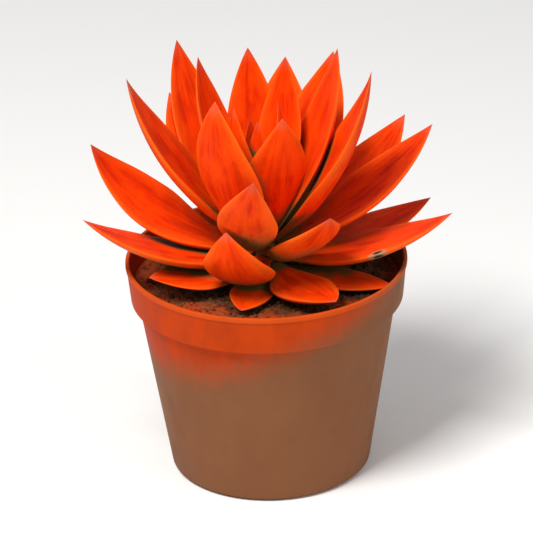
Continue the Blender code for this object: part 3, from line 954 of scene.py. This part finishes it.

# %% [markdown]
# ## The pot's finish
#
# The pot's plastic is a dull terracotta brown. The band caught the spray from the front left, and its right
# side stayed almost bare. The colour could read the same simulated spray as the leaves, but the pot stood
# where less of it arrived, so a plain slope across the pot does better: it falls off to the right, to the
# back and down the body, and fine noise breaks its edge into droplets. A painted highlight makes the lip a
# little lighter.

# %% Pot material and piece
BARE_PLASTIC = ((0.170, 0.074, 0.034), (0.240, 0.104, 0.046))
GRIME = (0.150, 0.075, 0.040)
POT_ORANGE = ((0.430, 0.036, 0.0008), (0.540, 0.046, 0.0010))
# The next colour is a painted highlight on the lip.
LIP_HIGHLIGHT = (0.680, 0.100, 0.012)
FALL_TO_RIGHT = -15.0
FALL_TO_BACK = -7.0
RISE_TO_RIM = 38.0

pot_finish, shader = new_finish("terracotta_plastic")
place = place_of(shader)
axes = node_beside(shader, "SeparateXYZ")
feed(axes, Vector=place)
clouds = noise_of(place, 38.0, detail=4.0)
smudges = noise_of(place, 130.0, detail=5.0, squeeze=(1.0, 1.0, 0.45))
droplets = noise_of(place, 900.0, roughness=0.65)
bare = mix_of(clouds, *BARE_PLASTIC)
grimy = mix_of(step_of(smudges, 0.50, 0.80, 0.0, 0.30), bare, GRIME)
orange = mix_of(step_of(smudges, 0.3, 0.7), *POT_ORANGE)
across = joined(axes.outputs["X"], "*", FALL_TO_RIGHT)
back = joined(axes.outputs["Y"], "*", FALL_TO_BACK)
above_band_foot = joined(joined(axes.outputs["Z"], "-", float(BAND_FOOT)), "*", RISE_TO_RIM)
aim = joined(joined(across, "+", back), "+", above_band_foot)
aim = joined(aim, "+", joined(clouds, "*", 0.55))
cover = joined(aim, "-", joined(droplets, "*", 0.9))
painted = mix_of(step_of(cover, -0.45, 0.35, 0.05, 0.95), grimy, orange)
# Painted highlight: the top of the lip is mixed 40% towards a lighter orange.
lip_start, lip_full = float(POT_HEIGHT - 1.3 * LIP_HEIGHT), float(POT_HEIGHT - LIP_HEIGHT)
lip_highlight_share = step_of(axes.outputs["Z"], lip_start, lip_full)
lip_with_highlight = mix_of(joined(lip_highlight_share, "*", 0.40), painted, LIP_HIGHLIGHT)
sheen = step_of(smudges, 0.3, 0.7, 0.48, 0.64)
relief = bump_of(droplets, 0.00005, 0.5)
feed(shader, Base_Color=lip_with_highlight, Roughness=sheen, Normal=relief, Specular_IOR_Level=0.05)
add_piece(pot_mesh, pot_finish, "pot")
print("pot finish has", len(shader.id_data.nodes), "nodes")

# %% [markdown]
# ## The peat's finish
#
# Damp peat is a dark red-brown, matt and grainy, with paler flecks. The spray that missed the leaves
# stained it near the wall. One colour with a bump could do, but the plug carries the simulated spray, so the
# stain fades by itself under the leaves.

# %% Peat material and plug
EARTH = ((0.048, 0.018, 0.007), (0.175, 0.062, 0.019))
FLECK = (0.230, 0.120, 0.055)
STAIN = (0.440, 0.050, 0.004)
SOIL_COAT_RATE = 0.22

peat_finish, shader = new_finish("damp_peat")
place = place_of(shader)
coarse = noise_of(place, 160.0, detail=6.0, roughness=0.65)
small = noise_of(place, 900.0, detail=4.0)
earth = mix_of(step_of(coarse, 0.35, 0.68), *EARTH)
flecked = mix_of(step_of(small, 0.60, 0.72, 0.0, 0.8), earth, FLECK)
caught = joined(field_of(shader, "coat"), "-", joined(coarse, "*", 0.9))
stained = mix_of(step_of(caught, -0.15, 0.45, 0.0, 0.72), flecked, STAIN)
relief = bump_of(small, 0.0005, 0.9)
feed(shader, Base_Color=stained, Roughness=0.92, Normal=relief, Specular_IOR_Level=0.25)

soil_coat = np.zeros(soil_grid.shape[:2])
soil_coat[top] = coat_of(reach["soil_plug"], SOIL_COAT_RATE)
soil_mesh = surface_mesh("soil_plug", soil_grid, soil_ends, {"coat": soil_coat})
add_piece(soil_mesh, peat_finish, "soil")
print("coat on the soil up to", soil_coat.max().round(2))

# %% [markdown]
# ## Loose crumbs
#
# Crumbs of many sizes lie on the peat. They could be scattered as instances, but an exported model keeps
# only real meshes. So each crumb is a lump with twenty faces that gets its own size, dents, stretch and
# turn, and all of them are worked out at once.

# %% The lump, and random places and turns
# The corners of the solid with twenty equal faces, whose coordinates are 0, 1 and the golden number g
g = (1.0 + math.sqrt(5.0)) / 2.0
LUMP = np.array(
    [(-1, g, 0), (1, g, 0), (-1, -g, 0), (1, -g, 0), (0, -1, g), (0, 1, g)]
    + [(0, -1, -g), (0, 1, -g), (g, 0, -1), (g, 0, 1), (-g, 0, -1), (-g, 0, 1)]
) / math.hypot(1.0, g)
LUMP_FACES = np.array(
    [(0, 11, 5), (0, 5, 1), (0, 1, 7), (0, 7, 10), (0, 10, 11), (1, 5, 9), (5, 11, 4), (11, 10, 2)]
    + [(10, 7, 6), (7, 1, 8), (3, 9, 4), (3, 4, 2), (3, 2, 6), (3, 6, 8), (3, 8, 9), (4, 9, 5)]
    + [(2, 4, 11), (6, 2, 10), (8, 6, 7), (9, 8, 1)]
)


def random_turns(rng, count):
    """Turning matrices from random unit quaternions (w, x, y, z)."""
    w, x, y, z = rng.normal(size=(4, count))
    size = np.sqrt(w * w + x * x + y * y + z * z)
    w, x, y, z = w / size, x / size, y / size, z / size
    rows = [1 - 2 * (y * y + z * z), 2 * (x * y - z * w), 2 * (x * z + y * w)]
    rows += [2 * (x * y + z * w), 1 - 2 * (x * x + z * z), 2 * (y * z - x * w)]
    rows += [2 * (x * z - y * w), 2 * (y * z + x * w), 1 - 2 * (x * x + y * y)]
    return np.stack(rows, axis=-1).reshape(count, 3, 3)


def soil_spots(rng, count, edge):
    """Random spots on the soil, evenly spread: the radius is the root of an even draw between the squares of
    an inner one and of an outer one, which stays that far from the wall."""
    radius = np.sqrt(rng.uniform((SOIL_HOLE + HOLE_FADE / 2) ** 2, (SOIL_EDGE - edge) ** 2, count))
    angle = rng.uniform(0.0, 2.0 * np.pi, count)
    x, y = radius * np.cos(angle), radius * np.sin(angle)
    return np.stack([x, y, soil_relief(x, y)], axis=-1)


print("lump of", len(LUMP), "points and", len(LUMP_FACES), "faces")

# %% Lay the crumbs
CRUMBS = 2200
SMALLEST_CRUMB = 0.00026
CRUMB_RANGE = 0.00100
CRUMB_RARITY = 2.8
CRUMB_FROM_WALL = 0.0016
CRUMB_LIFT = 0.25
SEED = 7

rng = np.random.default_rng(SEED)
sizes = SMALLEST_CRUMB + CRUMB_RANGE * rng.random(CRUMBS) ** CRUMB_RARITY
spots = soil_spots(rng, CRUMBS, CRUMB_FROM_WALL)
dents = 1.0 + rng.uniform(-0.28, 0.22, (CRUMBS, len(LUMP), 1))
stretch = rng.uniform(0.65, 1.25, (CRUMBS, 1, 3))
lumps = LUMP * dents * stretch * sizes[:, None, None]
lumps = np.einsum("nij,nkj->nki", random_turns(rng, CRUMBS), lumps) + spots[:, None, :]
lumps[:, :, 2] += CRUMB_LIFT * sizes[:, None]
crumb_faces = (LUMP_FACES + len(LUMP) * np.arange(CRUMBS)[:, None, None]).reshape(-1, 3)
crumb_mesh = new_mesh("soil_crumbs", lumps.reshape(-1, 3), crumb_faces.tolist())

across_soil = (np.hypot(spots[:, 0], spots[:, 1]) - SOIL_HOLE) / (SOIL_EDGE - SOIL_HOLE)
ring = np.rint(across_soil * (SOIL_RINGS - 1)).astype(int)
side = np.rint(np.arctan2(spots[:, 1], spots[:, 0]) / (2.0 * np.pi) * SOIL_SIDES).astype(int) % SOIL_SIDES
beneath = soil_coat[top][ring, side]
crumb_coat = np.repeat(beneath * rng.uniform(0.3, 1.5, CRUMBS), len(LUMP)).astype(np.float32)
crumb_mesh.attributes.new("coat", "FLOAT", "POINT").data.foreach_set("value", crumb_coat)
add_piece(crumb_mesh, peat_finish, "soil")
print("crumbs:", CRUMBS, "highest", lumps[:, :, 2].max().round(4))

# %% [markdown]
# ## Fibres in the peat
#
# Peat holds straw-coloured root fibres a few millimetres long. Hair curves would be lost in an export, so
# each is a thin rod with three sides, thickest in its middle, that bends sideways and arches up.

# %% Fibres
FIBRES = 150
STEPS = 7
CORNERS = np.radians([90.0, 210.0, 330.0])
FIBRE_LENGTHS = (0.0025, 0.0075)
FIBRE_ARCHES = (0.0002, 0.0011)
FIBRE_LIFT = 0.0002
FIBRE_FROM_WALL = 0.006
FIBRE_GAP = 0.001
THINNEST_FIBRE = 0.00007
FIBRE_RANGE = 0.00006
FIBRE_TAPER = 0.6

share = np.linspace(0.0, 1.0, STEPS)
spots = soil_spots(rng, FIBRES, FIBRE_FROM_WALL)
heading = rng.uniform(0.0, 2.0 * np.pi, (FIBRES, 1))
length = rng.uniform(*FIBRE_LENGTHS, (FIBRES, 1))
bow = rng.uniform(-0.35, 0.35, (FIBRES, 1))
way = heading + bow * (share - 0.5) * 4.0
x = spots[:, :1] + np.cumsum(np.cos(way), axis=1) * length / STEPS
y = spots[:, 1:2] + np.cumsum(np.sin(way), axis=1) * length / STEPS
inside_wall = np.hypot(x, y).max(axis=1) < SOIL_EDGE - FIBRE_GAP
arch = rng.uniform(*FIBRE_ARCHES, (FIBRES, 1)) * np.sin(np.pi * share)
z = soil_relief(x, y).mean(axis=1, keepdims=True) + FIBRE_LIFT + arch
middle = np.stack([x, y, z], axis=-1)[inside_wall]
way = way[inside_wall]
thick = THINNEST_FIBRE + FIBRE_RANGE * rng.random((len(middle), 1))
thick = thick * (1.0 - FIBRE_TAPER * np.abs(2.0 * share - 1.0))
sideways = np.stack([-np.sin(way), np.cos(way), 0.0 * way], axis=-1)
upward = np.array([0.0, 0.0, 1.0])
around = np.cos(CORNERS)[:, None] * sideways[:, :, None] + np.sin(CORNERS)[:, None] * upward
rods = middle[:, :, None] + thick[:, :, None, None] * around
print("fibres:", len(rods))

# %% Fibre mesh and finish
STRAW = ((0.090, 0.042, 0.018), (0.360, 0.200, 0.090))

step, corner = np.meshgrid(np.arange(STEPS - 1), np.arange(3), indexing="ij")
here = (3 * step + corner).ravel()
beside = (3 * step + (corner + 1) % 3).ravel()
squares = np.stack([here, beside, beside + 3, here + 3], axis=-1)
caps = np.array([[2, 1, 0], [3 * STEPS - 3, 3 * STEPS - 2, 3 * STEPS - 1]])
first = 3 * STEPS * np.arange(len(rods))[:, None, None]
fibre_faces = (first + squares).reshape(-1, 4).tolist() + (first + caps).reshape(-1, 3).tolist()
fibre_mesh = new_mesh("soil_fibres", rods.reshape(-1, 3), fibre_faces)

straw_finish, shader = new_finish("peat_fibre")
feed(shader, Base_Color=mix_of(noise_of(place_of(shader), 260.0), *STRAW), Roughness=0.8)
add_piece(fibre_mesh, straw_finish, "soil")
print("fibre faces:", len(fibre_faces))

# %% [markdown]
# ## Floor
#
# The plant stands on a pale, almost white floor, wide enough to fill the picture. A curved backdrop would
# do as well, but from above the floor alone is seen.

# %% Floor
FLOOR_HALF = 3.0
PALE = ((0.93, 0.93, 0.925), (0.95, 0.95, 0.945))

floor_finish, shader = new_finish("pale_floor")
mottle = noise_of(place_of(shader), 6.0, detail=2.0)
feed(shader, Base_Color=mix_of(mottle, *PALE), Roughness=0.7)
floor_corners = FLOOR_HALF * np.array([(-1, -1, 0), (1, -1, 0), (1, 1, 0), (-1, 1, 0)])
floor_mesh = new_mesh("studio_floor", floor_corners, [(0, 1, 2, 3)])
floor_mesh.materials.append(floor_finish)
floor = put_in_scene("studio_floor", floor_mesh)
print("floor", 2 * FLOOR_HALF, "m wide")

# %% [markdown]
# ## Light
#
# Soft light: one lamp high at the front left, a weaker one at the right, and an even white surround. A single
# sun would give hard shadows between the leaves, where the real ones are soft.

# %% Lamps and surround
TARGET = Vector((0.0, 0.0, 0.080))


def soft_lamp(name, spot, size, power, colour):
    """A square lamp at a spot, facing the plant."""
    lamp = bpy.data.lights.new(name, "AREA")
    lamp.size = size
    lamp.energy = power
    lamp.color = colour
    holder = put_in_scene(name, lamp)
    holder.location = spot
    holder.rotation_euler = (TARGET - Vector(spot)).to_track_quat("-Z", "Y").to_euler()


soft_lamp("key_lamp", (-0.38, -0.52, 1.10), 0.44, 15.6, (1.0, 0.985, 0.96))
soft_lamp("fill_lamp", (0.80, -0.55, 0.60), 0.70, 2.6, (1.0, 1.0, 1.0))
surround = bpy.data.worlds.new("white_surround")
surround.use_nodes = True
background = surround.node_tree.nodes["Background"]
feed(background, Color=(1.0, 1.0, 1.0), Strength=0.37)
bpy.context.scene.world = surround
bpy.context.scene.view_settings.view_transform = "Standard"
print("lamps aimed at", tuple(TARGET))

# %% [markdown]
# ## Camera
#
# The camera looks down at the rosette by the same angle and from the same distance as the photograph's,
# worked out from the ellipse that the pot's rim makes. It could be set by eye, but the fitted angle keeps
# each leaf's tip where the photograph has it.

# %% Camera
ELEVATION = math.radians(25.7)
DISTANCE = 1.617
FRAME_WIDTH = 0.200
LEAN = math.radians(-1.5)

away = Vector((0.0, -math.cos(ELEVATION), math.sin(ELEVATION)))
lens = bpy.data.cameras.new("photo_camera")
lens.sensor_width = 36.0
lens.lens = lens.sensor_width * DISTANCE / FRAME_WIDTH
camera = put_in_scene("photo_camera", lens)
camera.location = TARGET + away * DISTANCE
camera.rotation_mode = "QUATERNION"
camera.rotation_quaternion = (-away).to_track_quat("-Z", "Y") @ Quaternion((0.0, 0.0, 1.0), LEAN)
bpy.context.scene.camera = camera
print("camera at", [round(c, 3) for c in camera.location])

# %% [markdown]
# ## Bring the scene up to date
#
# The view layer is updated once more, so that every piece stands in its final place.

# %% Update the view layer
bpy.context.view_layer.update()
